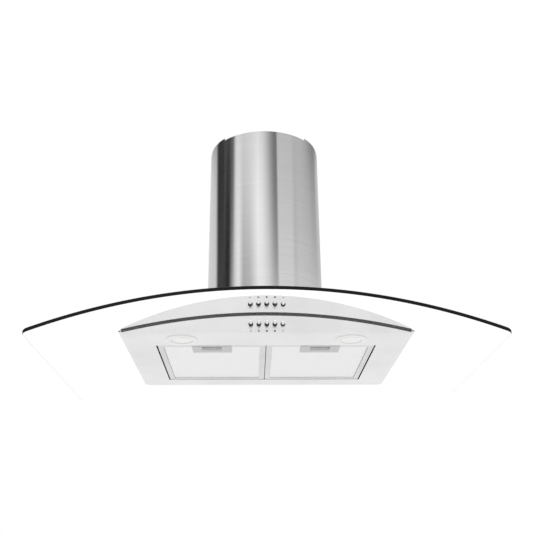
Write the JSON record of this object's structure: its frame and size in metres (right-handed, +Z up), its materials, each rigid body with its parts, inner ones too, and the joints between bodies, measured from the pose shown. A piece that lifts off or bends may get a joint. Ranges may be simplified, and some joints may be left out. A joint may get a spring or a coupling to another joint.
{
  "type": "island range hood",
  "caption": "Ceiling-hung island cooker hood with a round telescopic chimney, an arched glass canopy, a slim steel body, push buttons, lamps and drop-down grease filters.",
  "frame": {"origin": "centre of the ceiling plate's top face, on the chimney's axis", "axes": "+Z up, -Y towards the front with the push buttons, +X to the right of someone facing the front"},
  "size_m": [0.9, 0.565, 0.5817],
  "materials": {
    "brushed_stainless": "satin",
    "galvanised_steel": "satin",
    "zinc_screws": "satin",
    "toughened_glass": "gloss",
    "black_gasket": "matte",
    "chrome_button": "polished",
    "dark_bezel": "gloss",
    "aluminium_mesh": "satin",
    "aluminium_reflector": "polished",
    "frosted_glass": "matte",
    "lamp_glass": "gloss",
    "black_plastic": "matte",
    "grey_plastic": "matte",
    "white_plastic": "matte",
    "motor_steel": "satin"
  },
  "bodies": {
    "ceiling_frame": {"ceiling_plate": "galvanised_steel", "upper_uprights": "galvanised_steel", "upper_braces": "galvanised_steel", "ceiling_screws": "zinc_screws", "ear_screws": "zinc_screws", "upper_chimney": "brushed_stainless", "frame_bolts": "zinc_screws", "frame_nuts": "zinc_screws"},
    "canopy": {"lower_uprights": "galvanised_steel", "lower_brace": "galvanised_steel", "lower_chimney": "brushed_stainless", "seat_ring": "galvanised_steel", "chimney_screws": "zinc_screws", "ring_screws": "zinc_screws", "ring_spacers": "grey_plastic", "glass_canopy": "toughened_glass", "glass_seal": "black_gasket", "body_shell": "brushed_stainless", "plenum_deck": "galvanised_steel", "blower_casing": "galvanised_steel", "housing_screws": "zinc_screws", "scroll_housing": "galvanised_steel", "inlet_rings": "galvanised_steel", "motor": "motor_steel", "motor_bracket": "galvanised_steel", "duct_collar": "black_plastic", "damper_pin": "zinc_screws", "terminal_box": "galvanised_steel", "terminal_cover": "galvanised_steel", "terminal_block": "white_plastic", "capacitor": "white_plastic", "cable_gland": "black_plastic", "switch_bracket": "galvanised_steel", "switch_bank": "black_plastic", "button_bezels": "dark_bezel", "lamp_bezel_left": "brushed_stainless", "lamp_bezel_right": "brushed_stainless", "lamp_lens_left": "frosted_glass", "lamp_lens_right": "frosted_glass", "lamp_reflectors": "aluminium_reflector", "lamp_bulbs": "lamp_glass", "lamp_cans": "galvanised_steel"},
    "impeller_body": {"impeller": "galvanised_steel", "motor_shaft": "zinc_screws"},
    "flap_front_body": {"damper_flap_front": "black_plastic"},
    "flap_rear_body": {"damper_flap_rear": "black_plastic"},
    "button_off_body": {"button_off": "chrome_button"},
    "button_low_body": {"button_low": "chrome_button"},
    "button_medium_body": {"button_medium": "chrome_button"},
    "button_high_body": {"button_high": "chrome_button"},
    "button_light_body": {"button_light": "chrome_button"},
    "filter_left_body": {"filter_frame_left": "brushed_stainless", "filter_mesh_left": "aluminium_mesh", "filter_handle_left": "brushed_stainless"},
    "latch_left_body": {"filter_latch_left": "grey_plastic"},
    "filter_right_body": {"filter_frame_right": "brushed_stainless", "filter_mesh_right": "aluminium_mesh", "filter_handle_right": "brushed_stainless"},
    "latch_right_body": {"filter_latch_right": "grey_plastic"}
  },
  "joints": [
    {"name": "height_adjustment", "type": "slide", "parent": "ceiling_frame", "child": "canopy", "axis": [0, 0, -1], "range_m": [0, 0.38]},
    {"name": "impeller_spin", "type": "hinge", "parent": "canopy", "child": "impeller_body", "pos_m": [0, -0.0045, -0.419], "axis": [1, 0, 0], "continuous": true},
    {"name": "flap_front_swing", "type": "hinge", "parent": "canopy", "child": "flap_front_body", "pos_m": [0, 0, -0.273], "axis": [-1, 0, 0], "range_deg": [0, 75]},
    {"name": "flap_rear_swing", "type": "hinge", "parent": "canopy", "child": "flap_rear_body", "pos_m": [0, 0, -0.273], "axis": [1, 0, 0], "range_deg": [0, 75]},
    {"name": "button_off_press", "type": "slide", "parent": "canopy", "child": "button_off_body", "axis": [0, 1, 0], "range_m": [0, 0.005], "stiffness_N_per_m": 400, "springref_m": -0.002},
    {"name": "button_low_press", "type": "slide", "parent": "canopy", "child": "button_low_body", "axis": [0, 1, 0], "range_m": [0, 0.005], "stiffness_N_per_m": 400, "springref_m": -0.002},
    {"name": "button_medium_press", "type": "slide", "parent": "canopy", "child": "button_medium_body", "axis": [0, 1, 0], "range_m": [0, 0.005], "stiffness_N_per_m": 400, "springref_m": -0.002},
    {"name": "button_high_press", "type": "slide", "parent": "canopy", "child": "button_high_body", "axis": [0, 1, 0], "range_m": [0, 0.005], "stiffness_N_per_m": 400, "springref_m": -0.002},
    {"name": "button_light_press", "type": "slide", "parent": "canopy", "child": "button_light_body", "axis": [0, 1, 0], "range_m": [-0.005, 0]},
    {"name": "filter_left_drop", "type": "hinge", "parent": "canopy", "child": "filter_left_body", "pos_m": [-0.1161, 0.155, -0.5324], "axis": [1, 0, 0], "range_deg": [0, 45]},
    {"name": "latch_left_slide", "type": "slide", "parent": "filter_left_body", "child": "latch_left_body", "axis": [0, 1, 0], "range_m": [0, 0.005], "stiffness_N_per_m": 400, "springref_m": -0.002},
    {"name": "filter_right_drop", "type": "hinge", "parent": "canopy", "child": "filter_right_body", "pos_m": [0.1161, 0.155, -0.5324], "axis": [1, 0, 0], "range_deg": [0, 45]},
    {"name": "latch_right_slide", "type": "slide", "parent": "filter_right_body", "child": "latch_right_body", "axis": [0, 1, 0], "range_m": [0, 0.005], "stiffness_N_per_m": 400, "springref_m": -0.002}
  ]
}
